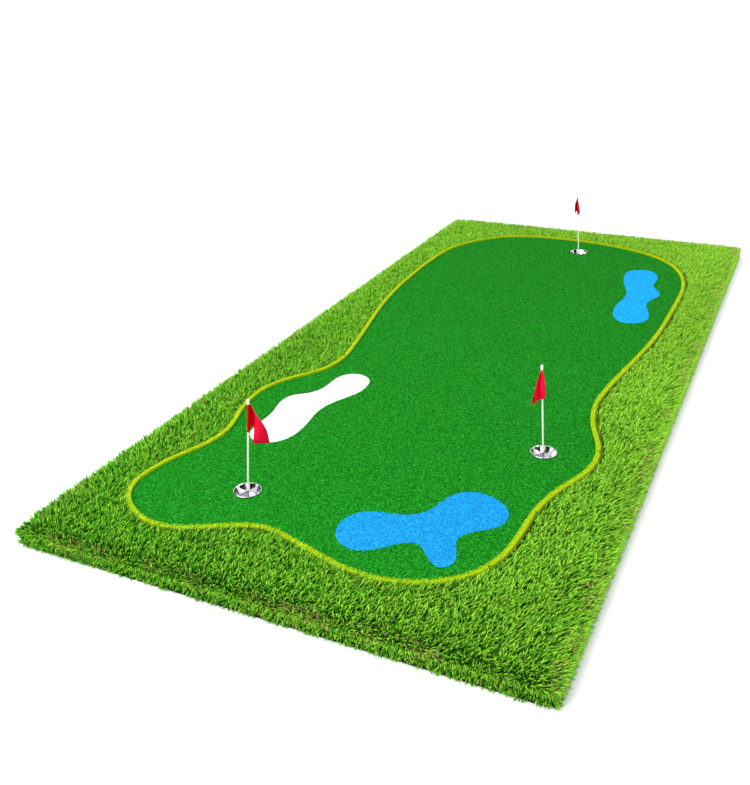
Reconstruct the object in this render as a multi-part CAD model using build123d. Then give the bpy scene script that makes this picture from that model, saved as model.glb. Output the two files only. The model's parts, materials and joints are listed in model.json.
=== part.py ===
"""Practice putting mat: a foam-backed green with three cups and flagsticks.

Millimetres, +Z up.  The origin is on the floor under the middle of the mat, +Y runs along its
length from the near end to the far end, and +X is to the right.
"""
from build123d import *
import os

# ---- driving dimensions -------------------------------------------------------------------
MAT_WIDTH = 2000.0
MAT_LENGTH = 4500.0
CORNER_RADIUS = 45.0
GAP = 0.3                       # free space between neighbouring pieces of turf and foam

BACKING_TOP = 3.0               # rubber backing lies on the floor
BACKING_INSET = 4.0
FOAM_TOP = 50.0
GREEN_TOP = 62.0                # short pile of the putting green
EDGING_TOP = 75.0
ROUGH_TOP = 82.0                # long pile of the rough and of its border

BORDER_WIDTH = 110.0            # border strip lying on top of the foam
SKIRT_THICKNESS = 24.0          # the same strip folded down over the foam's side
FOAM_PANELS = ("near", "middle", "far")
EDGING_WIDTH = 26.0

# ---- cups and flagsticks ------------------------------------------------------------------
HOLES = ((-372.0, -1680.0), (580.0, -946.0), (34.0, 1782.0))
LEANS = ((4.5, 35.0), (4.0, 194.0), (5.0, 193.0))      # each stick's lean, and which way, in degrees
CUP_RIM_RADIUS = 54.0           # regulation hole, 108 mm across
CUP_MOUTH_RADIUS = 52.0
CUP_FLOOR_RADIUS = 39.0
CUP_FLOOR_TOP = 32.0
CUP_WALL = 1.5
CUP_LIP = 2.5
CUP_LIP_TOP = 62.5
POCKET_RADIUS = 53.0            # pocket in the foam that the cup is pushed into
SOCKET_WELL_RADIUS = 8.0        # deeper well in the foam under the socket
SOCKET_WELL_FLOOR = 18.0

SOCKET_BOTTOM = 20.0
SOCKET_FLANGE_RADIUS = 9.5
SOCKET_FLANGE_THICKNESS = 2.0
SOCKET_RADIUS = 5.5
SOCKET_PLAY = 0.5               # room for the leaning tube in the hole of the cup's floor
SOCKET_TOP = 44.0
SOCKET_BORE_FLOOR = 22.0
PIN_RADIUS = 3.5                # foot of the flagstick
PIN_CLEARANCE = 0.06

FOOT_RADIUS = 4.5
FOOT_TOP = 61.0
POLE_RADIUS = 3.5
POLE_BOTTOM = 50.0
POLE_SHOULDER = 311.0           # the flag's tube stands on this step
POLE_NECK_RADIUS = 2.5
POLE_TOP = 438.0
TUBE_RADIUS = 3.5
TUBE_CLEARANCE = 0.08
TUBE_TOP = 426.0
END_PLAY = 0.4                  # the flag turns freely between the step and the cap
CAP_RADIUS = 5.0
CAP_TOP = 447.0

FLAG_THICKNESS = 16.0           # depth of the folds of the hanging cloth
HEM_RADIUS = 4.6
FLAG_DROP = 60.0                # the cloth hangs this far below the pole's step
CLOTH_PLAY = 0.6                # and stays clear of the pole there

# Hanging outline of each flag, as distance out from the pole and height.  A flag hangs on the
# side that its stick leans to.
FLAG_OUTLINES = (
    (
        (-HEM_RADIUS, 425.5), (7.0, 425.5), (36.0, 375.0), (56.0, 325.0), (68.0, 264.0),
        (20.0, 264.0), (16.0, 318.0), (-HEM_RADIUS, 312.0),
    ),
    (
        (-11.0, 322.0), (-HEM_RADIUS, 425.5), (8.0, 425.5), (24.0, 350.0), (36.0, 268.0),
        (25.0, 268.0), (14.0, 300.0), (-2.0, 311.0),
    ),
    (
        (-12.0, 324.0), (-HEM_RADIUS, 425.5), (8.0, 425.5), (16.0, 380.0), (16.0, 325.0),
        (10.0, 280.0), (2.0, 280.0), (-2.0, 311.0),
    ),
)

# ---- shapes cut in the turf, each a smooth closed curve, counterclockwise through its points -
GREEN_OUTLINE = (
    (-804, -1740), (-772, -1875), (-647, -1982), (-528, -2008), (-387, -1960), (-262, -1893),
    (-175, -1871), (-80, -1886), (100, -1944), (270, -1978), (400, -1960), (500, -1914),
    (610, -1800), (652, -1670), (668, -1400), (712, -1200), (772, -1030), (772, -850),
    (710, -670), (668, -470), (679, -230), (734, 170), (768, 500), (779, 900), (774, 1280),
    (731, 1510), (645, 1697), (500, 1852), (300, 1955), (50, 2012), (-190, 2024),
    (-400, 1990), (-560, 1904), (-680, 1760), (-764, 1580), (-800, 1320), (-796, 850),
    (-759, 450), (-674, 0), (-621, -265), (-603, -430), (-640, -595), (-745, -765),
    (-785, -930), (-760, -1110), (-710, -1314), (-729, -1456), (-786, -1621),
)
LARGE_POND_OUTLINE = (
    (371, -1379), (337, -1455), (308, -1542), (252, -1589), (140, -1614), (78, -1655), (54, -1740),
    (92, -1828), (161, -1861), (230, -1836), (295, -1772), (350, -1741), (430, -1808),
    (485, -1835), (512, -1800), (502, -1735), (478, -1650), (520, -1588), (588, -1520),
    (590, -1430), (535, -1368), (455, -1341),
)
SMALL_POND_OUTLINE = (
    (462, 1547), (422, 1505), (415, 1400), (450, 1235), (485, 1130), (497, 1040), (482, 900),
    (490, 740), (525, 650), (570, 617), (618, 622), (665, 660), (685, 745), (650, 880), (635, 985),
    (655, 1058), (677, 1130), (645, 1214), (615, 1275), (612, 1370), (603, 1470), (570, 1535),
    (518, 1565),
)
BUNKER_OUTLINE = (
    (-504, -572), (-533, -635), (-540, -752), (-575, -825), (-632, -878), (-651, -960),
    (-632, -1060), (-630, -1190), (-612, -1284), (-565, -1323), (-497, -1314), (-450, -1262),
    (-432, -1185), (-437, -1078), (-447, -965), (-415, -845), (-368, -740), (-360, -656),
    (-383, -582), (-441, -551),
)


def slab(outline, bottom, top):
    """A plate between two heights; the outline is a sketch on the floor plane."""
    return Pos(0, 0, bottom) * extrude(outline, amount=top - bottom)


def blob(points, grow=0.0):
    """The face inside a smooth closed curve, grown outwards all round.

    Each point moves by grow along the outward normal of the chord between its two neighbours.
    """
    moved = []
    for index, (x, y) in enumerate(points):
        before = points[index - 1]
        after = points[(index + 1) % len(points)]
        along = (Vector(*after) - Vector(*before)).normalized()
        moved.append((x + grow * along.Y, y - grow * along.X))
    return make_face(Spline(*moved, periodic=True))


def disc(radius, bottom, top, centre=(0.0, 0.0)):
    """An upright cylinder between two heights."""
    height = top - bottom
    return Pos(centre[0], centre[1], bottom + height / 2) * Cylinder(radius, height)


def turned(profile):
    """A solid of revolution about the Z axis from (radius, height) points."""
    outline = make_face(Plane.XZ * Polyline(*profile, close=True))
    return revolve(outline, Axis.Z)


def leaning(piece, lean):
    """The piece tilted about the middle of the cup's floor: degrees, and the way it leans."""
    angle, heading = lean
    tilt = Rot(0, 0, heading) * Rot(0, angle, 0) * Rot(0, 0, -heading)
    return Pos(0, 0, CUP_FLOOR_TOP) * tilt * Pos(0, 0, -CUP_FLOOR_TOP) * piece


def save(name, shape):
    """Write one piece to its STEP file."""
    export_step(shape, f"parts/{name}.step")


def backing():
    """Rubber sheet under the whole mat, set in a little from the turf's edge."""
    outline = RectangleRounded(MAT_WIDTH - 2 * BACKING_INSET, MAT_LENGTH - 2 * BACKING_INSET,
                               CORNER_RADIUS - BACKING_INSET)
    return slab(outline, 0.0, BACKING_TOP)


def foam_panel(index):
    """One of the butted foam panels, with a pocket for each cup that stands on it."""
    width = MAT_WIDTH - 2 * (SKIRT_THICKNESS + GAP)
    length = (MAT_LENGTH - 2 * (SKIRT_THICKNESS + GAP)) / len(FOAM_PANELS)
    middle = (index - 1) * length
    panel = Pos(0, middle, BACKING_TOP) * Box(
        width, length - GAP, FOAM_TOP - BACKING_TOP, align=(Align.CENTER, Align.CENTER, Align.MIN))
    for hole in HOLES:
        if abs(hole[1] - middle) < length / 2:
            floor = CUP_FLOOR_TOP - CUP_WALL
            panel -= disc(POCKET_RADIUS, floor, FOAM_TOP, hole)
            panel -= disc(SOCKET_WELL_RADIUS, SOCKET_WELL_FLOOR, floor, hole)
    return panel


def green_turf():
    """Short-pile turf with openings for the cups, the two ponds and the bunker."""
    turf = blob(GREEN_OUTLINE, -GAP)
    for outline in (LARGE_POND_OUTLINE, SMALL_POND_OUTLINE, BUNKER_OUTLINE):
        turf -= blob(outline, GAP)
    for hole in HOLES:
        turf -= Pos(*hole) * Circle(CUP_RIM_RADIUS + GAP)
    return slab(turf, FOAM_TOP, GREEN_TOP)


def edging():
    """Raised strip between the green and the rough, with its top corners eased."""
    strip = blob(GREEN_OUTLINE, EDGING_WIDTH) - blob(GREEN_OUTLINE)
    return slab(strip, FOAM_TOP, EDGING_TOP)


def rough(side):
    """Left or right half of the long-pile turf between the edging and the border strips."""
    width = MAT_WIDTH - 2 * (BORDER_WIDTH + GAP)
    length = MAT_LENGTH - 2 * (BORDER_WIDTH + GAP)
    half = Pos(side * (width / 4 + GAP / 4), 0) * Rectangle(width / 2 - GAP / 2, length)
    return slab(half - blob(GREEN_OUTLINE, EDGING_WIDTH + GAP), FOAM_TOP, ROUGH_TOP)


def border_frame():
    """All four border strips in one: a band on top of the foam and a skirt down its side."""
    outer = RectangleRounded(MAT_WIDTH, MAT_LENGTH, CORNER_RADIUS)
    band = outer - Rectangle(MAT_WIDTH - 2 * BORDER_WIDTH, MAT_LENGTH - 2 * BORDER_WIDTH)
    skirt = outer - Rectangle(MAT_WIDTH - 2 * SKIRT_THICKNESS, MAT_LENGTH - 2 * SKIRT_THICKNESS)
    return slab(band, FOAM_TOP, ROUGH_TOP) + slab(skirt, BACKING_TOP, FOAM_TOP)


def mitre(corners):
    """An upright prism that keeps one border strip, cut at 45 degrees at both ends."""
    return slab(make_face(Polyline(*corners, close=True)), 0.0, ROUGH_TOP + 1)


def border_strips():
    """The four border strips, mitred at the corners with a fine joint between them."""
    x = MAT_WIDTH / 2 + 1
    y = MAT_LENGTH / 2 + 1
    run = BORDER_WIDTH + 20
    step = GAP / 2
    frame = border_frame()
    near = ((-x + step, -y), (x - step, -y), (x - step - run, -y + run), (-x + step + run, -y + run))
    left = ((-x, -y + step), (-x + run, -y + step + run), (-x + run, y - step - run), (-x, y - step))
    far = tuple((px, -py) for px, py in near)
    right = tuple((-px, py) for px, py in left)
    sides = {"near": near, "far": far, "left": left, "right": right}
    return {side: frame & mitre(corners) for side, corners in sides.items()}


def cup():
    """Pressed metal cup: a lip, a tapering wall and a flat floor with a hole for the socket."""
    lip_bottom = CUP_LIP_TOP - CUP_LIP
    floor_bottom = CUP_FLOOR_TOP - CUP_WALL
    hole = SOCKET_RADIUS + SOCKET_PLAY
    return turned((
        (hole, floor_bottom), (CUP_FLOOR_RADIUS + CUP_WALL, floor_bottom),
        (CUP_MOUTH_RADIUS + 0.6, lip_bottom), (CUP_RIM_RADIUS, lip_bottom),
        (CUP_RIM_RADIUS, CUP_LIP_TOP - 0.5), (CUP_RIM_RADIUS - 0.5, CUP_LIP_TOP),
        (CUP_MOUTH_RADIUS, CUP_LIP_TOP - 0.3), (CUP_MOUTH_RADIUS - 0.6, lip_bottom),
        (CUP_FLOOR_RADIUS, CUP_FLOOR_TOP), (hole, CUP_FLOOR_TOP),
    ))


def cup_socket(lean):
    """Flanged ferrule through the cup's floor; its blind bore holds the flagstick's pin."""
    bore = PIN_RADIUS + PIN_CLEARANCE
    flange_top = CUP_FLOOR_TOP + SOCKET_FLANGE_THICKNESS
    flange = disc(SOCKET_FLANGE_RADIUS, CUP_FLOOR_TOP, flange_top)
    flange = chamfer(flange.edges().sort_by(Axis.Z)[-1], 0.7)
    tube = chamfer(disc(SOCKET_RADIUS, SOCKET_BOTTOM, SOCKET_TOP).edges().sort_by(Axis.Z)[-1], 0.5)
    pin_hole = disc(bore, SOCKET_BORE_FLOOR, SOCKET_TOP + 1)
    return flange + leaning(tube, lean) - leaning(pin_hole, lean)


def pole_foot():
    """Metal foot: a pin for the socket, a collar that rests on it and a cup for the pole."""
    pin_bottom = SOCKET_BORE_FLOOR + END_PLAY
    return turned((
        (0, pin_bottom), (PIN_RADIUS - 0.5, pin_bottom), (PIN_RADIUS, pin_bottom + 0.5),
        (PIN_RADIUS, SOCKET_TOP + GAP), (FOOT_RADIUS, SOCKET_TOP + GAP), (FOOT_RADIUS, FOOT_TOP - 1),
        (FOOT_RADIUS - 0.6, FOOT_TOP), (POLE_RADIUS, FOOT_TOP), (POLE_RADIUS, POLE_BOTTOM),
        (0, POLE_BOTTOM),
    ))


def flag_pole():
    """Round pole with a thinner neck, whose step carries the flag's tube."""
    return turned((
        (0, POLE_BOTTOM), (POLE_RADIUS, POLE_BOTTOM), (POLE_RADIUS, POLE_SHOULDER),
        (POLE_NECK_RADIUS, POLE_SHOULDER), (POLE_NECK_RADIUS, POLE_TOP), (0, POLE_TOP),
    ))


def pole_cap():
    """Domed knob pushed onto the pole's neck above the flag."""
    bottom = TUBE_TOP + END_PLAY
    dome = disc(CAP_RADIUS, bottom, CAP_TOP)
    dome = fillet(dome.edges().sort_by(Axis.Z)[-1], CAP_RADIUS * 0.8)
    dome = chamfer(dome.edges().sort_by(Axis.Z)[0], 0.6)
    return dome - disc(POLE_NECK_RADIUS, bottom - 1, POLE_TOP)


def flag_tube():
    """Plastic tube in the flag's hem, which turns on the pole's neck."""
    bottom = POLE_SHOULDER + END_PLAY
    return disc(TUBE_RADIUS, bottom, TUBE_TOP) - disc(
        POLE_NECK_RADIUS + TUBE_CLEARANCE, bottom - 1, TUBE_TOP + 1)


def flag_cloth(outline, heading):
    """Hanging flag as a plain solid as deep as its folds, open where the tube and pole pass."""
    face = make_face(Plane.XZ * Polyline(*outline, close=True))
    cloth = Rot(0, 0, heading) * extrude(face, amount=FLAG_THICKNESS / 2, both=True)
    step = POLE_SHOULDER + END_PLAY
    cloth -= disc(POLE_RADIUS + CLOTH_PLAY, step - FLAG_DROP, step)
    return cloth - disc(TUBE_RADIUS, step, TUBE_TOP + 1)


def flagstick(number, hole, lean, outline):
    """Write the seven pieces of one cup and flagstick, placed at their hole."""
    pieces = {
        "cup": cup(),
        "cup_socket": cup_socket(lean),
        "pole_foot": leaning(pole_foot(), lean),
        "flag_pole": leaning(flag_pole(), lean),
        "pole_cap": leaning(pole_cap(), lean),
        "flag_tube": leaning(flag_tube(), lean),
        "flag_cloth": leaning(flag_cloth(outline, lean[1]), lean),
    }
    for name, piece in pieces.items():
        save(f"{name}_{number}", Pos(hole[0], hole[1], 0) * piece)


os.makedirs("parts", exist_ok=True)
save("anti_slip_backing", backing())
for index, place in enumerate(FOAM_PANELS):
    save(f"foam_base_{place}", foam_panel(index))
save("green_turf", green_turf())
save("edging_strip", edging())
save("rough_turf_left", rough(-1))
save("rough_turf_right", rough(1))
for side, strip in border_strips().items():
    save(f"border_turf_{side}", strip)
save("pond_large", slab(blob(LARGE_POND_OUTLINE), FOAM_TOP, GREEN_TOP))
save("pond_small", slab(blob(SMALL_POND_OUTLINE), FOAM_TOP, GREEN_TOP))
save("bunker", slab(blob(BUNKER_OUTLINE), FOAM_TOP, GREEN_TOP))
for number, (hole, lean, outline) in enumerate(zip(HOLES, LEANS, FLAG_OUTLINES), start=1):
    flagstick(number, hole, lean, outline)
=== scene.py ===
import bpy
import json
import math
import numpy as np
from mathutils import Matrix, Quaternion, Vector


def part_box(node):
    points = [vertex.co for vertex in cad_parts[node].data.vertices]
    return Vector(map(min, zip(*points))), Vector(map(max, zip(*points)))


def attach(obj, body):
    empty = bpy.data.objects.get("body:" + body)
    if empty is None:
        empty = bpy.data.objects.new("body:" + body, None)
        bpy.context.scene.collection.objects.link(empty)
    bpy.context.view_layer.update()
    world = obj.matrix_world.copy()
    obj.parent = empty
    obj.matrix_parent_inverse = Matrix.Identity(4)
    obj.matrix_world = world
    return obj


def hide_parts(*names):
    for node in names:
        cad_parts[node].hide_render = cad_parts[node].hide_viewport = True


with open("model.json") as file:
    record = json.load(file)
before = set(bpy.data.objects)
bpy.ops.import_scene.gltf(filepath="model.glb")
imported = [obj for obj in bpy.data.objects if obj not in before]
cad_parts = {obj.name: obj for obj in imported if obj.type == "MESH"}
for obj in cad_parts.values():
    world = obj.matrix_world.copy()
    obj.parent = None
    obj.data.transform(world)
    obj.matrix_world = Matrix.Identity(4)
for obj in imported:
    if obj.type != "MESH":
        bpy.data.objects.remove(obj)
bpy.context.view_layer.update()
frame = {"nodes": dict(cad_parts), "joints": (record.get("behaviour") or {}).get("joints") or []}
nodes = frame["nodes"]


# ---- camera --------------------------------------------------------------------------------
# A standing person's view along the mat, from beyond its near right corner.  The camera looks
# a little to the left of the mat's length and down, and is turned slightly about its own axis.
camera_place = Vector((1.410, -4.210, 1.930))
camera_heading = math.radians(-25.92)       # from +Y, positive towards +X
camera_dip = math.radians(25.65)
camera_roll = math.radians(-1.29)

camera = bpy.data.objects.new("camera", bpy.data.cameras.new("camera"))
camera.data.lens = 42.65
camera.data.clip_end = 60.0
ahead = Vector((math.sin(camera_heading) * math.cos(camera_dip),
                math.cos(camera_heading) * math.cos(camera_dip),
                -math.sin(camera_dip)))
turn = ahead.to_track_quat("-Z", "Y") @ Quaternion((0, 0, 1), camera_roll)
camera.location = camera_place
camera.rotation_euler = turn.to_euler()
bpy.context.scene.collection.objects.link(camera)
bpy.context.scene.camera = camera


# ---- rubber backing ------------------------------------------------------------------------
# A thin sheet of black foamed rubber glued under the whole mat.  Its underside is cast with
# small dimples so that the mat doesn't creep on a smooth floor.
def new_material(name, metallic=0.0, specular=0.5):
    """A node material with its Principled shader; constants are set on the shader itself."""
    material = bpy.data.materials.new(name)
    material.use_nodes = True
    shader = material.node_tree.nodes["Principled BSDF"]
    shader.inputs["Metallic"].default_value = metallic
    shader.inputs["Specular IOR Level"].default_value = specular
    return material, material.node_tree, shader


def add_node(tree, kind, **values):
    """A new node in the tree; each value goes to the attribute of that name."""
    node = tree.nodes.new(kind)
    for key, value in values.items():
        setattr(node, key, value)
    return node


def object_noise(tree, scale, detail=2.0, stretch=(1, 1, 1)):
    """The Fac output of a noise in Object coordinates; stretch squeezes it along an axis."""
    place = add_node(tree, "ShaderNodeTexCoord")
    mapping = add_node(tree, "ShaderNodeMapping")
    mapping.inputs["Scale"].default_value = stretch
    noise = add_node(tree, "ShaderNodeTexNoise")
    noise.inputs["Scale"].default_value = scale
    noise.inputs["Detail"].default_value = detail
    tree.links.new(place.outputs["Object"], mapping.inputs["Vector"])
    tree.links.new(mapping.outputs["Vector"], noise.inputs["Vector"])
    return noise.outputs["Fac"]


def ramp(tree, value, *stops):
    """A colour ramp fed by value; stops are (position, colour)."""
    node = add_node(tree, "ShaderNodeValToRGB")
    while len(node.color_ramp.elements) < len(stops):
        node.color_ramp.elements.new(0.5)
    for element, (position, colour) in zip(node.color_ramp.elements, stops):
        element.position = position
        element.color = (*colour, 1.0)
    tree.links.new(value, node.inputs["Fac"])
    return node.outputs["Color"]


def bump(tree, shader, height, strength, distance):
    """Feed a height to the shader's normal."""
    node = add_node(tree, "ShaderNodeBump")
    node.inputs["Strength"].default_value = strength
    node.inputs["Distance"].default_value = distance
    tree.links.new(height, node.inputs["Height"])
    tree.links.new(node.outputs["Normal"], shader.inputs["Normal"])


def paint(obj, material):
    """Give the object this one material."""
    obj.data.materials.clear()
    obj.data.materials.append(material)
    for slot in obj.material_slots:
        slot.material = material


def rubber_material():
    """Black rubber with a rough skin and dimples about 6 mm apart."""
    dimple_spacing = 0.00625
    material, tree, shader = new_material("dimpled rubber", specular=0.3)
    wear = object_noise(tree, scale=9.0, detail=4.0)
    tree.links.new(ramp(tree, wear, (0.3, (0.012, 0.012, 0.012)), (0.8, (0.035, 0.034, 0.033))),
                   shader.inputs["Base Color"])
    shader.inputs["Roughness"].default_value = 0.85
    place = add_node(tree, "ShaderNodeTexCoord")
    dimples = add_node(tree, "ShaderNodeTexVoronoi", feature="F1")
    dimples.inputs["Scale"].default_value = 1 / dimple_spacing
    dimples.inputs["Randomness"].default_value = 0.15
    tree.links.new(place.outputs["Object"], dimples.inputs["Vector"])
    bump(tree, shader, dimples.outputs["Distance"], strength=0.6, distance=0.002)
    return material


paint(nodes["anti_slip_backing"], rubber_material())


# ---- foam base -----------------------------------------------------------------------------
# Three panels of charcoal EVA foam butted end to end, with pockets cut for the cups.  The cut
# faces show fine closed cells, and the tone is mottled in soft patches.
def foam_material():
    """Charcoal foam: mottled tone and a close-celled cut surface."""
    material, tree, shader = new_material("charcoal foam", specular=0.25)
    tone = object_noise(tree, scale=2.5, detail=5.0)
    tree.links.new(ramp(tree, tone, (0.25, (0.020, 0.022, 0.024)), (0.75, (0.050, 0.053, 0.057))),
                   shader.inputs["Base Color"])
    shader.inputs["Roughness"].default_value = 0.9
    bump(tree, shader, object_noise(tree, scale=900.0, detail=1.0), strength=0.5, distance=0.0008)
    return material


foam = foam_material()
for place in ("near", "middle", "far"):
    paint(nodes[f"foam_base_{place}"], foam)


# ---- putting green -------------------------------------------------------------------------
# Short, dense polyethylene turf glued to the foam, die-cut for the cups, ponds and bunker.  Its
# nearly straight tufts are up to 4.5 mm tall and stand close enough to look solid.
def triangles_of(obj):
    """The corners of an object's triangles as an array (triangle, corner, xyz)."""
    mesh = obj.data
    mesh.calc_loop_triangles()
    corners = np.empty(len(mesh.loop_triangles) * 3, int)
    mesh.loop_triangles.foreach_get("vertices", corners)
    points = np.empty(len(mesh.vertices) * 3)
    mesh.vertices.foreach_get("co", points)
    return points.reshape(-1, 3)[corners].reshape(-1, 3, 3)


def scatter(obj, chosen, density, rng):
    """Random points on the triangles that chosen(centres, normals) keeps, with their normals.

    Each triangle is drawn with a chance that follows its area.  A point is
    a + u (b - a) + v (c - a), and where u + v is over one, both are taken from one.
    """
    corners = triangles_of(obj)
    a, b, c = corners[:, 0], corners[:, 1], corners[:, 2]
    cross = np.cross(b - a, c - a)
    area = np.linalg.norm(cross, axis=1) / 2
    normals = cross / np.maximum(2 * area, 1e-12)[:, None]
    area = np.where(chosen(corners.mean(axis=1), normals), area, 0.0)
    count = int(area.sum() * density)
    pick = rng.choice(len(area), size=count, p=area / area.sum())
    u, v = rng.random((2, count, 1))
    u, v = np.where(u + v > 1, 1 - u, u), np.where(u + v > 1, 1 - v, v)
    return a[pick] + u * (b - a)[pick] + v * (c - a)[pick], normals[pick]


def faces_up(centres, normals):
    """Keeps the faces that look straight up."""
    return normals[:, 2] > 0.9


def new_piece(name, points, faces, body="root"):
    """A mesh piece from arrays of points and of triangles or quads, riding on a CAD body."""
    mesh = bpy.data.meshes.new(name)
    mesh.vertices.add(len(points))
    mesh.vertices.foreach_set("co", np.ascontiguousarray(points, float).ravel())
    sides = faces.shape[1]
    mesh.loops.add(faces.size)
    mesh.loops.foreach_set("vertex_index", faces.ravel())
    mesh.polygons.add(len(faces))
    mesh.polygons.foreach_set("loop_start", np.arange(len(faces)) * sides)
    mesh.polygons.foreach_set("use_smooth", np.ones(len(faces), bool))
    mesh.update(calc_edges=True)
    mesh.validate()
    piece = bpy.data.objects.new(name, mesh)
    bpy.context.scene.collection.objects.link(piece)
    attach(piece, body)
    return piece


def store(piece, name, values):
    """Keep one number for each vertex as a mesh attribute that materials can read."""
    piece.data.attributes.new(name, "FLOAT", "POINT").data.foreach_set("value", values)


def unit(vectors):
    """Each vector at length one."""
    return vectors / np.maximum(np.linalg.norm(vectors, axis=1, keepdims=True), 1e-9)


def tufts(name, roots, directions, length, width, rng):
    """Short pile: each tuft is a closed three-sided spike.

    The three base corners stand around the root at a radius of half the width, and the tip is
    the root plus the direction times the length.
    """
    count = len(roots)
    around = rng.uniform(0, 2 * math.pi, (count, 1)) + np.array([[0, 2, 4]]) * math.pi / 3
    ring = np.stack([np.cos(around), np.sin(around), np.zeros((count, 3))], axis=2)
    base = roots[:, None] + ring * (width / 2)[:, None, None]
    tip = roots + directions * length[:, None]
    points = np.concatenate([base, tip[:, None]], axis=1).reshape(-1, 3)
    pattern = np.array([(0, 1, 3), (1, 2, 3), (2, 0, 3), (2, 1, 0)])
    faces = (np.arange(count)[:, None, None] * 4 + pattern).reshape(-1, 3)
    piece = new_piece(name, points, faces)
    store(piece, "along", np.tile([0.0, 0.0, 0.0, 1.0], count))
    store(piece, "tint", np.repeat(rng.random(count), 4))
    return piece


def pile_group():
    """Node group that colours pile: each blade's own tint, painted shade that darkens it towards
    the root, and soft patches.
    """
    group = bpy.data.node_groups.new("pile colour", "ShaderNodeTree")
    face = group.interface
    face.new_socket("Dark", in_out="INPUT", socket_type="NodeSocketColor")
    face.new_socket("Light", in_out="INPUT", socket_type="NodeSocketColor")
    for name, start in (("Root shade", 0.4), ("Patch size", 3.0), ("Patch strength", 0.15)):
        socket = face.new_socket(name, in_out="INPUT", socket_type="NodeSocketFloat")
        socket.default_value = start
    face.new_socket("Color", in_out="OUTPUT", socket_type="NodeSocketColor")
    start = add_node(group, "NodeGroupInput")
    end = add_node(group, "NodeGroupOutput")
    tint = add_node(group, "ShaderNodeAttribute", attribute_name="tint")
    along = add_node(group, "ShaderNodeAttribute", attribute_name="along")
    blade = add_node(group, "ShaderNodeMix", data_type="RGBA")
    group.links.new(tint.outputs["Fac"], blade.inputs["Factor"])
    group.links.new(start.outputs["Dark"], blade.inputs["A"])
    group.links.new(start.outputs["Light"], blade.inputs["B"])
    # Painted shade: the colour darkens from the tip down to the root.
    root = add_node(group, "ShaderNodeMapRange")
    group.links.new(along.outputs["Fac"], root.inputs["Value"])
    group.links.new(start.outputs["Root shade"], root.inputs["To Min"])
    place = add_node(group, "ShaderNodeTexCoord")
    noise = add_node(group, "ShaderNodeTexNoise")
    group.links.new(place.outputs["Object"], noise.inputs["Vector"])
    group.links.new(start.outputs["Patch size"], noise.inputs["Scale"])
    centred = add_node(group, "ShaderNodeMath", operation="SUBTRACT")
    centred.inputs[1].default_value = 0.5
    group.links.new(noise.outputs["Fac"], centred.inputs[0])
    patch = add_node(group, "ShaderNodeMath", operation="MULTIPLY_ADD")
    patch.inputs[2].default_value = 1.0
    group.links.new(centred.outputs[0], patch.inputs[0])
    group.links.new(start.outputs["Patch strength"], patch.inputs[1])
    level = add_node(group, "ShaderNodeMath", operation="MULTIPLY")
    group.links.new(root.outputs["Result"], level.inputs[0])
    group.links.new(patch.outputs[0], level.inputs[1])
    shaded = add_node(group, "ShaderNodeVectorMath", operation="SCALE")
    group.links.new(blade.outputs["Result"], shaded.inputs[0])
    group.links.new(level.outputs[0], shaded.inputs["Scale"])
    group.links.new(shaded.outputs["Vector"], end.inputs["Color"])
    return group


pile_colour = pile_group()


def light_of(red, green, blue):
    """The linear colour of a screen colour given from 0 to 255, by the sRGB curve."""
    screen = np.array([red, green, blue]) / 255
    return tuple(np.where(screen < 0.04045, screen / 12.92, ((screen + 0.055) / 1.055) ** 2.4))


def pile_material(name, dark, light, root_shade, patch_size, patch_strength, roughness=0.7,
                  specular=0.08):
    """Plastic turf yarn coloured by the pile group."""
    material, tree, shader = new_material(name, specular=specular)
    colour = add_node(tree, "ShaderNodeGroup", node_tree=pile_colour)
    colour.inputs["Dark"].default_value = (*dark, 1.0)
    colour.inputs["Light"].default_value = (*light, 1.0)
    colour.inputs["Root shade"].default_value = root_shade
    colour.inputs["Patch size"].default_value = patch_size
    colour.inputs["Patch strength"].default_value = patch_strength
    tree.links.new(colour.outputs["Color"], shader.inputs["Base Color"])
    shader.inputs["Roughness"].default_value = roughness
    return material


def mat_material(name, dark, light, cell):
    """The bed of a short pile: loops a few millimetres across, each with its own tone.

    A Voronoi pattern gives the loops.  Their colour is painted lighter at their middles, a painted
    highlight where they stand up, and darker in the gaps between them, painted shade.
    """
    material, tree, shader = new_material(name, specular=0.08)
    place = add_node(tree, "ShaderNodeTexCoord")
    loops = add_node(tree, "ShaderNodeTexVoronoi", feature="F1")
    loops.inputs["Scale"].default_value = 1 / cell
    tree.links.new(place.outputs["Object"], loops.inputs["Vector"])
    tone = add_node(tree, "ShaderNodeSeparateColor")
    tree.links.new(loops.outputs["Color"], tone.inputs["Color"])
    # Each loop's own tone, with a painted highlight at its middle and painted shade towards its
    # edge.
    level = add_node(tree, "ShaderNodeMath", operation="MULTIPLY_ADD")
    level.inputs[1].default_value = -0.8
    tree.links.new(loops.outputs["Distance"], level.inputs[0])
    tree.links.new(tone.outputs["Red"], level.inputs[2])
    tree.links.new(ramp(tree, level.outputs[0], (0.0, dark), (0.75, light)),
                   shader.inputs["Base Color"])
    shader.inputs["Roughness"].default_value = 0.85
    height = add_node(tree, "ShaderNodeMath", operation="SUBTRACT")
    height.inputs[0].default_value = 1.0
    tree.links.new(loops.outputs["Distance"], height.inputs[1])
    bump(tree, shader, height.outputs[0], strength=0.7, distance=0.0025)
    return material


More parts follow.
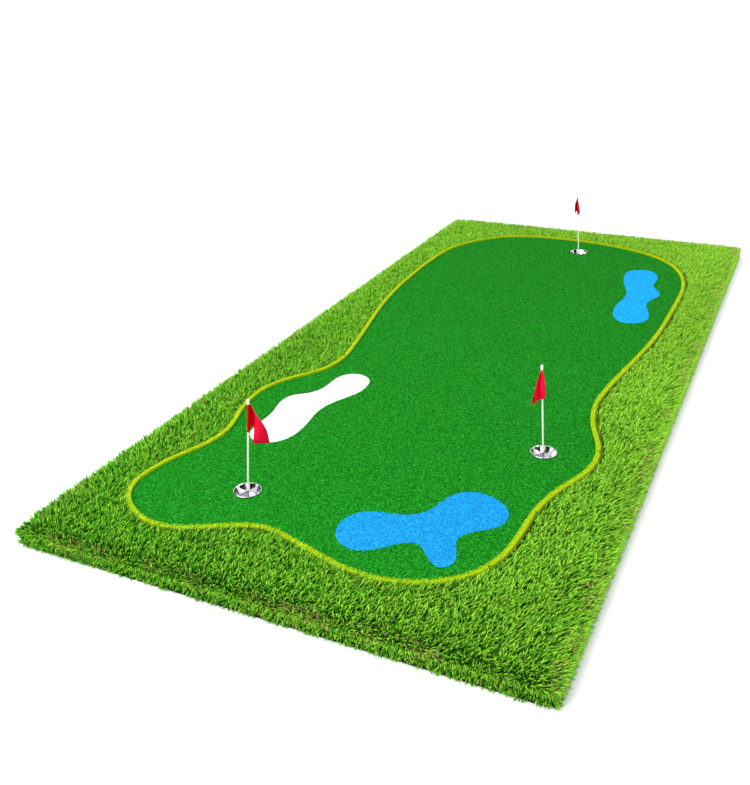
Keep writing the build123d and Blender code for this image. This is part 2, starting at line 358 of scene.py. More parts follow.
def lowered(name, node, top, reach=(np.inf, np.inf)):
    """A copy of a CAD turf solid, pressed down and in to where its tufts start.

    No point stays higher than top, or further from the mat's middle lines than reach, and
    triangles that this presses flat are dropped.
    """
    points = triangles_of(nodes[node]).reshape(-1, 3)
    points[:, 2] = np.minimum(points[:, 2], top)
    points[:, :2] = np.clip(points[:, :2], -np.array(reach), reach)
    points, same = np.unique(np.round(points, 6), axis=0, return_inverse=True)
    faces = same.reshape(-1, 3)
    a, b, c = faces.T
    whole = (a != b) & (b != c) & (c != a)
    piece = new_piece(name, points, faces[whole])
    piece.data.polygons.foreach_set("use_smooth", np.zeros(len(piece.data.polygons), bool))
    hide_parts(node)
    return piece


def short_pile(node, dark, light, rng, parts=1):
    """Cover a CAD turf node with short tufts: a bed of loops and a field of low spikes.

    The spikes are shared out over a number of parts, from the near end to the far end.
    """
    pile, loop_size = 0.0045, 0.0045
    density = 27000                 # tufts on each square metre
    widths = 0.0050, 0.0085
    sway_spread = 0.30
    bed_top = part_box(node)[1][2] - pile
    bed = lowered(f"{node}_mat", node, bed_top)
    paint(bed, mat_material(f"{node} mat", dark, light, loop_size))
    roots, _ = scatter(nodes[node], faces_up, density, rng)
    roots[:, 2] = bed_top - 0.0005      # sunk a little into the bed
    sway = rng.normal(0, sway_spread, (len(roots), 2))
    directions = unit(np.column_stack([sway, np.ones(len(roots))]))
    length = pile * rng.uniform(0.55, 1.0, len(roots))
    width = rng.uniform(*widths, len(roots))
    yarn = pile_material(f"{node} pile", dark, light, root_shade=0.8, patch_size=2.0,
                         patch_strength=0.12)
    order = np.argsort(roots[:, 1], kind="stable")
    for part, rows in enumerate(np.array_split(order, parts)):
        piece = tufts(f"{node}_pile_{part + 1}", roots[rows], directions[rows], length[rows],
                      width[rows], rng)
        paint(piece, yarn)


rng = np.random.default_rng(7)
short_pile("green_turf", light_of(0, 86, 2), light_of(36, 162, 38), rng, 4)


# ---- ponds and bunker ----------------------------------------------------------------------
# Inlays of the same short turf in bright blue and in white, cut to the shape of the openings
# in the green and glued down level with it.
short_pile("pond_large", light_of(4, 116, 172), light_of(38, 168, 244), rng)
short_pile("pond_small", light_of(14, 148, 214), light_of(34, 170, 240), rng)
short_pile("bunker", light_of(222, 224, 224), light_of(242, 243, 243), rng)


# ---- edging --------------------------------------------------------------------------------
# A strip of stiff yellow-green pile standing on edge between the green and the rough.  It is
# glued down the middle, so its fibres spread a little to both sides at the top.
def upright(centres, normals):
    """Keeps the faces that stand upright."""
    return np.abs(normals[:, 2]) < 0.5


def nearest(points, others):
    """The distance in plan from each point to the nearest of the others, worked in blocks."""
    blocks = np.array_split(points[:, :2], max(1, len(points) // 2000))
    return np.concatenate([
        np.sqrt(((block[:, None] - others[None, :, :2]) ** 2).sum(axis=2).min(axis=1))
        for block in blocks])


def edging():
    """The strip's core and its fibres, which lean away from the strip's own walls.

    The core's "across" number is its distance in plan from the wall of the green.  Past the lit
    part of the strip's width the rough shades it: there the core is painted dark, a painted shadow,
    and has no fibres.
    """
    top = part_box("edging_strip")[1][2]
    green_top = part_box("green_turf")[1][2]
    strip_width, lit = 0.030, 0.0165                # measured from the green
    fibre = 0.009
    widths = 0.0022, 0.0038
    top_density, wall_density = 62000, 60000        # fibres on each square metre
    dark, light = light_of(176, 212, 6), light_of(230, 250, 34)
    # Painted shadow that the rough casts on the outer part of the strip.
    shade = light_of(70, 92, 4)
    measuring_points = 18000                        # on each square metre of the green's wall
    green_side = scatter(nodes["green_turf"], upright, measuring_points, rng)[0]
    core = lowered("edging_strip_core", "edging_strip", top - fibre)
    points = np.empty(len(core.data.vertices) * 3)
    core.data.vertices.foreach_get("co", points)
    store(core, "across", nearest(points.reshape(-1, 3), green_side))
    material, tree, shader = new_material("edging core", specular=0.1)
    across = add_node(tree, "ShaderNodeAttribute", attribute_name="across")
    blur = add_node(tree, "ShaderNodeMath", operation="MULTIPLY_ADD")
    blur.inputs[1].default_value = 0.004
    tree.links.new(object_noise(tree, scale=300.0, detail=2.0), blur.inputs[0])
    tree.links.new(across.outputs["Fac"], blur.inputs[2])
    wide = add_node(tree, "ShaderNodeMath", operation="MULTIPLY")
    wide.inputs[1].default_value = 1 / strip_width
    tree.links.new(blur.outputs[0], wide.inputs[0])
    body_tone = tuple(0.6 * v for v in dark)
    # Past the lit width the core's colour darkens into the painted shadow.
    tree.links.new(ramp(tree, wide.outputs[0], (lit / strip_width, body_tone), (0.78, shade)),
                   shader.inputs["Base Color"])
    shader.inputs["Roughness"].default_value = 0.85
    bump(tree, shader, object_noise(tree, scale=500.0, detail=1.0), strength=0.6, distance=0.001)
    paint(core, material)

    tops, _ = scatter(nodes["edging_strip"], faces_up, top_density, rng)
    tops[:, 2] = top - fibre - 0.001
    walls, outwards = scatter(nodes["edging_strip"], upright, wall_density, rng)
    seen = (walls[:, 2] > green_top - 0.002) & (walls[:, 2] < top - 0.004)   # not buried
    seen &= nearest(walls, green_side) < lit
    walls, outwards = walls[seen], outwards[seen]
    up = np.array([0.0, 0.0, 1.0])
    wall_lean, sway_spread = 0.45, 0.16
    lean = np.concatenate([np.tile(up, (len(tops), 1)), wall_lean * outwards + up])
    lean = unit(lean + rng.normal(0, sway_spread, lean.shape))
    roots = np.concatenate([tops, walls - 0.001 * outwards])
    length = fibre * rng.uniform(0.75, 1.05, len(roots))
    length[len(tops):] *= 0.7
    shaded = nearest(roots, green_side) > lit + rng.normal(0, 0.001, len(roots))
    roots, lean, length = roots[~shaded], lean[~shaded], length[~shaded]
    width = rng.uniform(*widths, len(roots))
    fringe = tufts("edging_strip_fibres", roots, lean, length, width, rng)
    paint(fringe, pile_material("edging fibre", dark, light, root_shade=0.6, patch_size=6.0,
                                patch_strength=0.15))


edging()


# ---- rough and border turf -----------------------------------------------------------------
# Long-pile turf: stiff bent blades about 30 mm long over curly tan thatch.  The rough is cut
# round the edging, and border strips of the same turf are folded down over the foam's sides,
# where the blades fan out and the thatch shows along the fold.
rough_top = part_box("rough_turf_left")[1][2]
foam_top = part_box("foam_base_near")[1][2]
half_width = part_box("border_turf_right")[1][0]
half_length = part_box("border_turf_far")[1][1]
weave = 0.002                       # woven carrier of the turf
side_pile = 0.011                   # blades of the folded skirt are rooted this far in
skirt_depth = 0.020                 # upright faces this near the mat's edge belong to the skirt
floor_gap = 0.0015                  # no blade hangs lower than this


def blades(name, roots, directions, side, droop, length, width, rng):
    """Long blades: closed, three-sided, with one bend and a point.

    The lower ring of three corners stands at the root, the upper ring at 55 percent of the
    length, and the tip at the full length, lowered by droop.  The flat side of a blade lies
    along side, and its back corner is a third of the width behind it.  The tint is a random
    number plus painted light: 0.31 more at the mat's far right corner and 0.25 less at its near
    left one.
    """
    count = len(roots)
    back = np.cross(directions, side)
    half = (width / 2)[:, None]
    knee = roots + directions * (0.55 * length)[:, None]
    tip = roots + directions * length[:, None] + droop
    corners = [roots - side * half, roots + side * half, roots + back * half * 0.66,
               knee - side * half * 0.8, knee + side * half * 0.8, knee + back * half * 0.5, tip]
    points = np.stack(corners, axis=1).reshape(-1, 3)
    points[:, 2] = np.maximum(points[:, 2], floor_gap)
    pattern = np.array([(0, 1, 4), (0, 4, 3), (1, 2, 5), (1, 5, 4), (2, 0, 3), (2, 3, 5),
                        (3, 4, 6), (4, 5, 6), (5, 3, 6), (2, 1, 0)])
    faces = (np.arange(count)[:, None, None] * 7 + pattern).reshape(-1, 3)
    piece = new_piece(name, points, faces)
    store(piece, "along", np.tile([0.0, 0.0, 0.0, 0.6, 0.6, 0.6, 1.0], count))
    # Painted light: the tint rises towards the mat's far right corner and falls towards its near
    # left one.
    painted_light_ramp = 0.03 + 0.14 * (roots[:, 0] / half_width + roots[:, 1] / half_length)
    store(piece, "tint", np.repeat(np.clip(rng.random(count) + painted_light_ramp, 0, 1.2), 7))
    return piece


def skirt_faces(centres, normals):
    """Keeps the outer upright faces of the border, which the folded turf covers."""
    outside = np.abs(centres[:, 0]) > half_width - skirt_depth
    outside |= np.abs(centres[:, 1]) > half_length - skirt_depth
    outwards = (centres[:, :2] * normals[:, :2]).sum(axis=1) > 0
    return (np.abs(normals[:, 2]) < 0.5) & outside & outwards


def long_pile(node, parts):
    """Cover a CAD turf node with blades on its top and, on a border strip, down its side.

    Top blades lean to the far right, outwards as they near the fold, and over the edging along
    its near side; side blades point outwards, and down near the floor.  Each direction is that
    lean plus a random vector.  A blade is cut short where it would pass the tallest height, or
    reach 4 mm under the floor.
    """
    density = 22500                 # blades on each square metre
    top_lean, side_lean = [[0.42, 0.20, 1.0]], [[0.2, 0.1, 0.0]]
    top_length, side_length = 0.030, 0.023
    top_spread, side_spread = 0.30, 0.40
    widths = 0.0038, 0.0066
    fold_reach = 0.07               # the pile opens towards the fold over this width
    hanging_height = 0.028          # side blades under this height hang
    strip_reach = 0.024             # top blades this near the edging lie over it
    inner = np.array([half_width - side_pile, half_length - side_pile])
    bed = lowered(f"{node}_thatch", node, foam_top + weave, inner)
    paint(bed, thatch)

    roots, normals = scatter(nodes[node], faces_up, density, rng)
    roots[:, 2] = foam_top + weave
    roots[:, :2] = np.clip(roots[:, :2], -inner, inner)
    low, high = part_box(node)
    middle = np.array([low[0] + high[0], low[1] + high[1]]) / 2
    comb = middle / inner * (np.abs(middle) > 0.85 * inner)
    if node.startswith("border"):
        sides, outwards = scatter(nodes[node], skirt_faces, density, rng)
        sides[:, :2] = np.clip(sides[:, :2], -inner, inner)
        sides[:, 2] = np.minimum(sides[:, 2], foam_top + weave)
        roots = np.concatenate([roots, sides])
        normals = np.concatenate([normals, outwards])
    count = len(roots)
    up = normals[:, 2] > 0.5
    near_fold = np.clip(1 - (inner - np.abs(roots[:, :2])) / fold_reach, 0, 1)
    near_fold = near_fold * np.sign(roots[:, :2])
    lean = np.where(up[:, None], top_lean, side_lean)
    low_down = np.where(up, 0, np.clip(1 - roots[:, 2] / hanging_height, 0, 1))
    lean[:, 2] -= 0.30 * low_down
    over = np.clip(1.2 - nearest(roots, strip_near_walls) / strip_reach, 0, 1) * up
    lean[:, 1] += 0.80 * over
    fan = np.where(near_fold[:, :1] < 0, 1.0, 0.70)     # opens wider on the left
    lean[:, :2] += np.where(up[:, None], fan * near_fold + 0.25 * comb, normals[:, :2])
    spread = np.where(up, top_spread, side_spread)[:, None]
    directions = unit(lean + rng.normal(0, 1, (count, 3)) * spread)
    folded = np.abs(near_fold).max(axis=1)
    length = np.where(up, top_length + 0.006 * folded + 0.010 * over, side_length)
    length = length + 0.003 * low_down
    length = length * rng.uniform(0.75, 1.15, count)
    width = rng.uniform(*widths, count)
    tall = directions[:, 2] * length
    tallest = rough_top + 0.004 + 0.005 * folded + 0.008 * over
    reach = np.where(tall > 0, (tallest - roots[:, 2]) / np.maximum(tall, 1e-4),
                     (roots[:, 2] + 0.004) / np.maximum(-tall, 1e-4))
    length = length * np.minimum(reach, 1.0)
    droop = np.column_stack([directions[:, :2] * 0.002, -rng.uniform(0.000, 0.004, count)])
    droop[:, 2] *= roots[:, 2] > 0.012
    side = unit(np.cross(directions, rng.normal(0, 1, (count, 3))))
    order = np.argsort(roots[:, 1], kind="stable")
    for part, rows in enumerate(np.array_split(order, parts)):
        piece = blades(f"{node}_blades_{part + 1}", roots[rows], directions[rows], side[rows],
                       droop[rows], length[rows], width[rows], rng)
        paint(piece, blade_material)


def thatch_material():
    """Matted roots of the long pile: tan and olive curls, with dark green between them that is
    painted shade deep in the pile.
    """
    material, tree, shader = new_material("thatch", specular=0.2)
    curls = object_noise(tree, scale=160.0, detail=3.0)
    # The darkest greens are painted shade between the curls; the tan and olive are the thatch's own
    # colour.
    tree.links.new(ramp(tree, curls, (0.34, light_of(4, 46, 0)), (0.56, light_of(20, 84, 0)),
                        (0.70, light_of(88, 112, 22))), shader.inputs["Base Color"])
    shader.inputs["Roughness"].default_value = 0.9
    bump(tree, shader, object_noise(tree, scale=260.0, detail=2.0), strength=0.8, distance=0.003)
    return material


# Points on the edging's walls that face the near end, where the pile lies over the strip.
wall_points = 12000                 # on each square metre of wall
strip_walls, strip_outwards = scatter(nodes["edging_strip"], upright, wall_points, rng)
strip_near_walls = strip_walls[strip_outwards[:, 1] < -0.35]
thatch = thatch_material()
blade_material = pile_material("grass blade", light_of(46, 156, 2), light_of(180, 246, 66),
                               root_shade=0.34, patch_size=1.6, patch_strength=0.35,
                               roughness=0.5, specular=0.15)
for node, parts in (("rough_turf_left", 2), ("rough_turf_right", 2), ("border_turf_left", 2),
                    ("border_turf_right", 2), ("border_turf_near", 1), ("border_turf_far", 1)):
    long_pile(node, parts)


def dry_fibres(node):
    """Tan curls of thatch that the fold opens up, in clusters along it.

    A fibre is kept where three sines of its place, with wavelengths of about 0.2 to 1 m, add
    up to more than a random number, so that the clusters come and go along the edge.
    """
    density = 16000                 # places tried on each square metre
    band_width = 0.040              # fibres lie within this distance of the mat's edge
    lowest_root = 0.030             # and on the skirt only above this height
    fibre = 0.018
    widths = 0.0020, 0.0034

    def folded_faces(centres, normals):
        """Keeps the top and the skirt."""
        return faces_up(centres, normals) | skirt_faces(centres, normals)

    roots, normals = scatter(nodes[node], folded_faces, density, rng)
    edge = np.minimum(half_width - np.abs(roots[:, 0]), half_length - np.abs(roots[:, 1]))
    run = roots[:, 0] + roots[:, 1]
    cluster = np.sin(6.1 * run + 1) + np.sin(14.3 * run) + np.sin(31.0 * run + 2)
    band = (edge < band_width) & ((normals[:, 2] > 0.5) | (roots[:, 2] > lowest_root))
    kept = band & (cluster + 0.7 > rng.normal(0.9, 0.8, len(roots)))
    roots, normals = roots[kept], normals[kept]
    inner = np.array([half_width, half_length]) - 0.003
    roots[:, :2] = np.clip(roots[:, :2], -inner, inner)
    roots[:, 2] = np.where(normals[:, 2] > 0.5, foam_top + 0.011,
                           np.minimum(roots[:, 2], foam_top + 0.008))
    count = len(roots)
    lean = rng.normal(0, 0.6, (count, 3)) + np.array([0.3, 0.15, 0.35]) + 0.5 * normals
    directions = unit(lean)
    length = fibre * rng.uniform(0.7, 1.15, count)
    room = rough_top + 0.003 - roots[:, 2]
    length = np.minimum(length, room / np.maximum(directions[:, 2], 0.05))
    droop = np.column_stack([np.zeros((count, 2)), -rng.uniform(0.001, 0.004, count)])
    side = unit(np.cross(directions, rng.normal(0, 1, (count, 3))))
    piece = blades(f"{node}_dry_fibres", roots, directions, side, droop, length,
                   rng.uniform(*widths, count), rng)
    paint(piece, fibre_material)


fibre_material = pile_material("dry fibre", light_of(120, 106, 26), light_of(232, 216, 134),
                               root_shade=0.55, patch_size=4.0, patch_strength=0.3)
for node in ("border_turf_near", "border_turf_far", "border_turf_left", "border_turf_right"):
    dry_fibres(node)


# ---- cups ----------------------------------------------------------------------------------
# Shallow dishes pressed from stainless sheet and polished, pushed into the foam's pockets so
# that the lip lies level with the green.  A boss in the floor takes the foot of the flagstick.
def metal_material(name, low_colour, colour, height, smooth, rough, scratch, satin=0.0):
    """Polished metal, in low_colour and rougher by satin up to a height; scratches bump it."""
    material, tree, shader = new_material(name, metallic=1.0)
    place = add_node(tree, "ShaderNodeTexCoord")
    parts = add_node(tree, "ShaderNodeSeparateXYZ")
    tree.links.new(place.outputs["Object"], parts.inputs["Vector"])
    rise = add_node(tree, "ShaderNodeMapRange")
    rise.inputs["From Min"].default_value = height - 0.0006
    rise.inputs["From Max"].default_value = height + 0.0006
    tree.links.new(parts.outputs["Z"], rise.inputs["Value"])
    # A random smudgy tone, plus the step to the low colour below the height.
    smudge_and_low_tint = add_node(tree, "ShaderNodeMath", operation="MULTIPLY_ADD")
    smudge_and_low_tint.inputs[1].default_value = 0.2
    tree.links.new(object_noise(tree, scale=30.0, detail=3.0), smudge_and_low_tint.inputs[0])
    tree.links.new(rise.outputs["Result"], smudge_and_low_tint.inputs[2])
    tree.links.new(ramp(tree, smudge_and_low_tint.outputs[0], (0.15, low_colour), (0.95, colour)),
                   shader.inputs["Base Color"])
    gloss = add_node(tree, "ShaderNodeMapRange")
    gloss.inputs["To Min"].default_value = smooth + satin
    gloss.inputs["To Max"].default_value = rough + satin
    tree.links.new(object_noise(tree, scale=60.0, detail=2.0), gloss.inputs["Value"])
    polish = add_node(tree, "ShaderNodeMath", operation="MULTIPLY_ADD")
    polish.inputs[1].default_value = -satin
    tree.links.new(rise.outputs["Result"], polish.inputs[0])
    tree.links.new(gloss.outputs["Result"], polish.inputs[2])
    tree.links.new(polish.outputs[0], shader.inputs["Roughness"])
    bump(tree, shader, object_noise(tree, scale=500.0, detail=2.0, stretch=(1, 1, 8)),
         strength=scratch, distance=0.0004)
    return material


cup_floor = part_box("cup_1")[0][2] + 0.0030      # 1.5 mm over the top of the flat floor
# On the cups the low colour is a painted reflection: a darker lavender tint on the floor.
cup_steel = metal_material("polished cup steel", (0.31, 0.305, 0.37), (0.76, 0.76, 0.77),
                           cup_floor, smooth=0.04, rough=0.14, scratch=0.04, satin=0.36)
boss_steel = metal_material("cup boss steel", (0.30, 0.29, 0.30), (0.40, 0.39, 0.40),
                            cup_floor, smooth=0.18, rough=0.35, scratch=0.10)
for number in (1, 2, 3):
    paint(nodes[f"cup_{number}"], cup_steel)
    paint(nodes[f"cup_socket_{number}"], boss_steel)


# ---- flagsticks ----------------------------------------------------------------------------
# A white enamelled rod in two thicknesses, with a turned steel foot that drops into the cup's
# boss and a moulded cap on top.  The flag's tube turns on the thinner neck.
def coat_material(name, colour, shade, roughness, coat, orange_peel):
    """Paint or moulded plastic: a faintly uneven tone and skin under a clear gloss."""
    material, tree, shader = new_material(name)
    tone = object_noise(tree, scale=25.0, detail=3.0)
    tree.links.new(ramp(tree, tone, (0.35, shade), (0.60, colour)), shader.inputs["Base Color"])
    shader.inputs["Roughness"].default_value = roughness
    shader.inputs["Coat Weight"].default_value = coat
    bump(tree, shader, object_noise(tree, scale=700.0, detail=1.0), strength=orange_peel,
         distance=0.0003)
    return material


pole_enamel = coat_material("white enamel", (0.80, 0.80, 0.79), (0.68, 0.69, 0.67),
                            roughness=0.30, coat=0.4, orange_peel=0.05)
cap_plastic = coat_material("cap plastic", (0.82, 0.82, 0.81), (0.74, 0.74, 0.73),
                            roughness=0.45, coat=0.0, orange_peel=0.10)
tube_plastic = coat_material("tube plastic", (0.72, 0.72, 0.70), (0.60, 0.60, 0.58),
                             roughness=0.50, coat=0.0, orange_peel=0.10)
for number in (1, 2, 3):
    paint(nodes[f"flag_pole_{number}"], pole_enamel)
    paint(nodes[f"pole_foot_{number}"], boss_steel)
    paint(nodes[f"pole_cap_{number}"], cap_plastic)
    paint(nodes[f"flag_tube_{number}"], tube_plastic)


# ---- flags ---------------------------------------------------------------------------------
# Red polyester pennants, 170 mm long and 112 mm at the hoist, sewn round the tube with a hem.
# They hang limp: the top edge drops from the head of the hem and the cloth folds under it.
def spline_weights(controls, samples):
    """Weights of a uniform Catmull-Rom curve through the controls, one row for each sample.

    Each sample mixes its four nearest controls by the usual cubics, and a control missing past
    an end is twice the end one minus its neighbour.
    """
    place = np.linspace(0, controls - 1, samples)
    first = np.minimum(place.astype(int), controls - 2)
    u = place - first
    cubics = np.stack([-u + 2 * u**2 - u**3, 2 - 5 * u**2 + 3 * u**3,
                       u + 4 * u**2 - 3 * u**3, -u**2 + u**3], axis=1) / 2
    padded = np.zeros((samples, controls + 2))
    rows = np.arange(samples)
    for step in range(4):
        padded[rows, first + step] = cubics[:, step]
    weights = padded[:, 1:-1].copy()
    weights[:, 0] += 2 * padded[:, 0]
    weights[:, 1] -= padded[:, 0]
    weights[:, -1] += 2 * padded[:, -1]
    weights[:, -2] -= padded[:, -1]
    return weights


def grid_faces(rows, columns, closed=False):
    """Quads of a grid of rows by columns; closed joins the last column to the first."""
    index = np.arange(rows * columns).reshape(rows, columns)
    if closed:
        index = np.column_stack([index, index[:, 0]])
    return np.stack([index[:-1, :-1], index[:-1, 1:], index[1:, 1:], index[1:, :-1]],
                    axis=2).reshape(-1, 4)


def cloth_material():
    """Red polyester: a fine plain weave, and painted shade that darkens the red in the folds.

    The weave is the product of two sines, across and up the flat cloth of the "cut" map.
    """
    thread_spacing = 0.0012
    material, tree, shader = new_material("red flag cloth", specular=0.1)
    place = add_node(tree, "ShaderNodeUVMap", uv_map="cut")
    parts = add_node(tree, "ShaderNodeSeparateXYZ")
    tree.links.new(place.outputs["UV"], parts.inputs["Vector"])
    threads = []
    for axis in ("X", "Y"):
        wave = add_node(tree, "ShaderNodeMath", operation="MULTIPLY")
        wave.inputs[1].default_value = 2 * math.pi / thread_spacing
        tree.links.new(parts.outputs[axis], wave.inputs[0])
        sine = add_node(tree, "ShaderNodeMath", operation="SINE")
        tree.links.new(wave.outputs[0], sine.inputs[0])
        threads.append(sine.outputs[0])
    weave = add_node(tree, "ShaderNodeMath", operation="MULTIPLY")
    tree.links.new(threads[0], weave.inputs[0])
    tree.links.new(threads[1], weave.inputs[1])
    depth = add_node(tree, "ShaderNodeAttribute", attribute_name="fold")
    weave_and_fold_shade = add_node(tree, "ShaderNodeMath", operation="MULTIPLY_ADD")
    weave_and_fold_shade.inputs[1].default_value = 0.05
    tree.links.new(weave.outputs[0], weave_and_fold_shade.inputs[0])
    tree.links.new(depth.outputs["Fac"], weave_and_fold_shade.inputs[2])
    # The ramp darkens the red where the painted fold shade is deep.
    painted_fold_shade = ramp(tree, weave_and_fold_shade.outputs[0], (0.05, (0.66, 0.002, 0.034)), (0.50, (0.58, 0.001, 0.016)),
               (0.95, (0.44, 0.0, 0.001)))
    tree.links.new(painted_fold_shade, shader.inputs["Base Color"])
    shader.inputs["Roughness"].default_value = 0.75
    bump(tree, shader, weave.outputs[0], strength=0.25, distance=0.0003)
    return material


flag_cloth = cloth_material()
flag_length, flag_hoist = 0.170, 0.112
cloth_thickness = 0.0005
hem_outside, hem_inside = 0.0044, 0.0037        # radii round the tube
hem_low, hem_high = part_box("flag_tube_1")[0][2] + 0.001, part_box("flag_tube_1")[1][2] - 0.001

# The net of each flag: eight lines from the hoist to the tip, each with four points from the
# top edge to the lower edge.  A point is how far it stands sideways from the stick and in front
# of it, and its height, in millimetres.  The last row is how dark the painted fold shade is on each
# line.
flags = {
    1: (1, [[(3.8, 0, 425.5), (3.8, 0, 388), (3.8, 0, 351), (3.8, 0, 312)],
            [(5, -2, 425), (9, -5, 389), (11.6, -6, 355), (10.2, -4, 321)],
            [(7, -6, 424), (18, -11, 388), (22.4, -12, 357), (19.5, -9, 330)],
            [(13, -3, 414), (23.6, -3, 380), (26.4, -3, 345), (22, -2, 312)],
            [(30.6, 7, 380), (32, 8, 350), (28.5, 8, 318), (20, 7, 286)],
            [(54.5, 9, 345), (47, 13, 316), (34, 12, 289), (18.4, 6, 266)],
            [(71.5, 4, 304), (62.5, 8, 287), (51, 8, 270), (41.8, 3, 260)],
            [(80.6, 0, 259), (80.2, 0, 257), (79.6, 0, 255.5), (79, 0, 254)]],
        (0.9, 0.95, 0.9, 0.1, 0.0, 0.05, 0.1, 0.2)),
    2: (-1, [[(2.6, 2.8, 425.5), (2.6, 2.8, 388), (2.6, 2.8, 350), (2.6, 2.8, 312)],
             [(3.5, 4.5, 424), (6.9, 7, 388), (10.4, 9, 352), (11, 8, 318)],
             [(4.5, 7, 424), (9.7, 11, 386), (13.3, 13, 350), (12.7, 11, 315)],
             [(1.3, 9, 423), (0.5, 13, 383), (0.7, 14, 343), (1, 13, 304)],
             [(-4, 3, 418), (-10, 1, 376), (-12.8, 0, 336), (-13.6, 0, 296)],
             [(-11, 9, 403), (-18.7, 13, 365), (-22.5, 14, 325), (-22.9, 13, 291)],
             [(-20.4, 0, 370), (-28.8, -2, 335), (-31.9, -1, 305), (-31.7, 0, 281)],
             [(-43, 4, 276), (-42.3, 4, 273), (-41.4, 4, 270.5), (-40.4, 4, 268)]],
        (0.4, 0.2, 0.1, 0.0, 0.1, 0.5, 0.7, 0.5)),
    3: (-1, [[(2.6, 2.8, 425.5), (2.6, 2.8, 388), (2.6, 2.8, 350), (2.6, 2.8, 312)],
             [(2.5, 5, 424), (5, 8, 386), (7.8, 10, 350), (10.4, 8, 322)],
             [(3.1, 8, 422), (7.8, 12, 384), (12.6, 14, 348), (13.5, 12, 324)],
             [(0, 9, 420), (0.5, 13, 380), (1.3, 14, 344), (3.1, 12, 319)],
             [(-5.8, 1, 412), (-7.9, -2, 376), (-9, -3, 352), (-8.5, -2, 335)],
             [(-11, 9, 398), (-14.4, 14, 370), (-15.5, 15, 346), (-15.5, 14, 324)],
             [(-17.9, -3, 376), (-20, -6, 352), (-20.6, -6, 334), (-21, -4, 318)],
             [(-21, 3, 298), (-20.5, 3, 294), (-20, 3, 289), (-19.5, 3, 284)]],
        (0.1, 0.1, 0.1, 0.6, 0.9, 0.9, 0.7, 0.9)),
}


def lay_flat(piece, across, up):
    """Keep each vertex's place on its flat cloth, in metres, as the UV map "cut"."""
    places = np.stack(np.broadcast_arrays(across, up), axis=-1).reshape(-1, 2)
    corners = np.empty(len(piece.data.loops), int)
    piece.data.loops.foreach_get("vertex_index", corners)
    piece.data.uv_layers.new(name="cut").data.foreach_set("uv", places[corners].ravel())


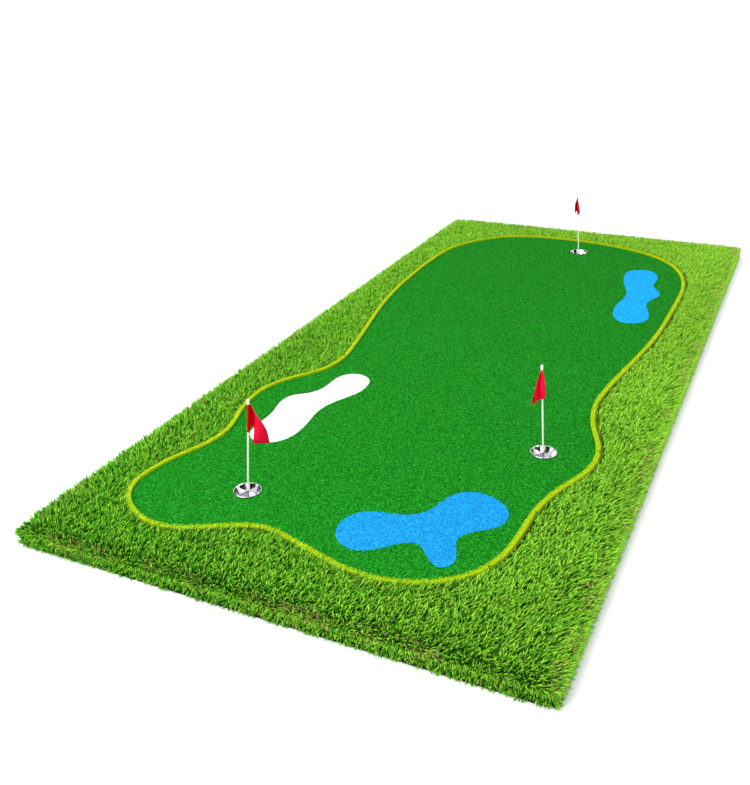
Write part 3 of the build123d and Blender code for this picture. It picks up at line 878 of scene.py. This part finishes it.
def pennant(number, side, net, painted_fold_shade):
    """One flag: its cloth, the hem round the tube and the row of stitches beside the hem.

    The cloth is the surface of Catmull-Rom curves through the net, both ways, with a ripple of
    a sine along and down it that fades to nothing at the hoist.  The hem is a ring profile
    carried up the tube, and each stitch is a spindle along the line it is sewn on.
    """
    swivel = next(j for j in frame["joints"] if j["name"] == f"flag_{number}_swivel")
    axis, pivot = np.array(swivel["axis"]), np.array(swivel["pos_m"])
    sideways = side * np.array([axis[0], axis[1], 0]) / np.hypot(axis[0], axis[1])
    front = np.array([sideways[1], -sideways[0], 0])

    def stand(out, forward, height):
        """The point out to the side of the stick's axis and in front of it at a height."""
        rise = (height - pivot[2]) / axis[2]
        return (pivot + rise[..., None] * axis + out[..., None] * sideways
                + forward[..., None] * front)

    rows, columns = 97, 49
    net = np.array(net, float) / 1000
    along, down = spline_weights(8, rows), spline_weights(4, columns)
    points = np.einsum("ra,cb,abk->rck", along, down, net)
    s, t = np.meshgrid(np.linspace(0, 1, rows), np.linspace(0, 1, columns), indexing="ij")
    ripple_height = 0.0007
    ripple = ripple_height * np.sin(6 * math.pi * s + 5 * t + number) * np.clip(4 * s, 0, 1)
    surface = stand(points[..., 0], points[..., 1] + ripple, points[..., 2])
    cloth = new_piece(f"flag_{number}_cloth", surface.reshape(-1, 3), grid_faces(rows, columns),
                      f"flag_{number}")
    # Painted shade in the folds, for each line of the net.
    store(cloth, "fold", np.repeat(along @ np.array(painted_fold_shade), columns))
    lay_flat(cloth, flag_length * s, flag_hoist * t * (1 - s) + flag_hoist / 2 * s)
    thick = cloth.modifiers.new("cloth", "SOLIDIFY")
    thick.thickness = cloth_thickness
    thick.offset = 0
    paint(cloth, flag_cloth)
    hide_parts(f"flag_cloth_{number}")

    around, levels = 28, 60
    height = np.linspace(hem_low, hem_high, levels)
    pucker = 0.00012 * np.sin(np.arange(levels) * 2.1 + number)
    profile = np.concatenate([np.column_stack([hem_outside + pucker, height]),
                              np.column_stack([np.full(2, hem_inside), height[[-1, 0]]])])
    profile = np.vstack([profile, profile[:1]])
    turn = np.arange(around) * 2 * math.pi / around
    ring_out = profile[:, :1] * np.cos(turn)
    ring_front = profile[:, :1] * np.sin(turn)
    sleeve = stand(ring_out, ring_front, np.repeat(profile[:, 1:], around, axis=1))
    hem = new_piece(f"flag_{number}_hem", sleeve[:-1].reshape(-1, 3),
                    grid_faces(len(profile), around, True)[:, ::-1] % ((len(profile) - 1) * around),
                    f"flag_{number}")
    lay_flat(hem, hem_outside * turn[None, :], profile[:-1, 1:])
    # The hem takes the painted fold shade of the hoist line.
    store(hem, "fold", np.full(len(hem.data.vertices), painted_fold_shade[0]))
    paint(hem, flag_cloth)

    line = 8                        # the row of the cloth that the stitches follow
    half_stitch, half_thread, stand_off = 0.0010, 0.00025, 0.0006
    sewn = surface[line, 1:-1:2]
    thread = unit(surface[line, 2::2] - surface[line, :-2:2])
    proud = unit(np.cross(thread, surface[line + 1, 1:-1:2] - surface[line - 1, 1:-1:2]))
    across = np.cross(thread, proud)
    corners = [thread * half_stitch, -thread * half_stitch, across * half_thread,
               -across * half_thread, proud * stand_off, -proud * stand_off]
    spindles = np.stack([sewn + corner for corner in corners], axis=1).reshape(-1, 3)
    pattern = np.array([(0, 4, 2), (0, 3, 4), (0, 5, 3), (0, 2, 5),
                        (1, 2, 4), (1, 4, 3), (1, 3, 5), (1, 5, 2)])
    faces = (np.arange(len(sewn))[:, None, None] * 6 + pattern).reshape(-1, 3)
    stitches = new_piece(f"flag_{number}_stitches", spindles, faces, f"flag_{number}")
    paint(stitches, flag_thread)


flag_thread = coat_material("sewing thread", (0.62, 0.03, 0.05), (0.45, 0.01, 0.02),
                            roughness=0.6, coat=0.0, orange_peel=0.2)
for number, (side, net, painted_fold_shade) in flags.items():
    pennant(number, side, net, painted_fold_shade)


# ---- studio --------------------------------------------------------------------------------
# A plain pale floor under soft white light, with one broad lamp from the front left.  Polished
# parts see dark panels between the softboxes on the near side of the room.
floor_reach = 60                    # metres from the middle to each side
floor_mesh = bpy.data.meshes.new("floor")
floor_mesh.from_pydata([(-floor_reach, -floor_reach, 0), (floor_reach, -floor_reach, 0),
                        (floor_reach, floor_reach, 0), (-floor_reach, floor_reach, 0)],
                       [], [(0, 1, 2, 3)])
floor = bpy.data.objects.new("floor", floor_mesh)
bpy.context.scene.collection.objects.link(floor)
floor_paint, _, floor_shader = new_material("pale floor", specular=0.0)
floor_shader.inputs["Base Color"].default_value = (0.86, 0.86, 0.86, 1.0)
floor_shader.inputs["Roughness"].default_value = 0.9
paint(floor, floor_paint)


def studio_world(strength, panels, panel_heading, panel_top):
    """White light all round; only reflections see the dark panels.

    A panel stands where a sine of the heading, with this many waves in a full turn, is over
    -0.3, below the top and away from the far side of the room.
    """
    panel_edge, far_side = -0.3, 0.35
    world = bpy.data.worlds.new("studio")
    world.use_nodes = True
    tree = world.node_tree
    background = tree.nodes["Background"]
    background.inputs["Strength"].default_value = strength
    place = add_node(tree, "ShaderNodeTexCoord")
    parts = add_node(tree, "ShaderNodeSeparateXYZ")
    tree.links.new(place.outputs["Generated"], parts.inputs["Vector"])

    def math_node(operation, *values):
        node = add_node(tree, "ShaderNodeMath", operation=operation)
        for socket, value in zip(node.inputs, values):
            if isinstance(value, (int, float)):
                socket.default_value = value
            else:
                tree.links.new(value, socket)
        return node.outputs[0]

    heading = math_node("ARCTAN2", parts.outputs["X"], parts.outputs["Y"])
    wave = math_node("SINE", math_node("MULTIPLY_ADD", heading, panels, panel_heading))
    dark = math_node("GREATER_THAN", wave, panel_edge)
    low = math_node("LESS_THAN", parts.outputs["Z"], panel_top)
    near = math_node("LESS_THAN", parts.outputs["Y"], far_side)
    seen = math_node("MULTIPLY", math_node("MULTIPLY", dark, low), near)
    path = add_node(tree, "ShaderNodeLightPath")
    seen = math_node("MULTIPLY", seen, path.outputs["Is Glossy Ray"])
    tree.links.new(ramp(tree, seen, (0.0, (1, 1, 1)), (1.0, (0.02, 0.02, 0.02))),
                   background.inputs["Color"])
    bpy.context.scene.world = world


studio_world(strength=1.25, panels=4.0, panel_heading=0.6, panel_top=0.62)

lamp = bpy.data.objects.new("broad lamp", bpy.data.lights.new("broad lamp", "AREA"))
lamp.data.size = 6.0
lamp.data.energy = 620
lamp.location = (-2.4, -4.4, 5.6)
lamp.rotation_euler = (Vector((0, 0, 0)) - lamp.location).to_track_quat("-Z", "Y").to_euler()
bpy.context.scene.collection.objects.link(lamp)
bpy.context.scene.view_settings.view_transform = "Standard"
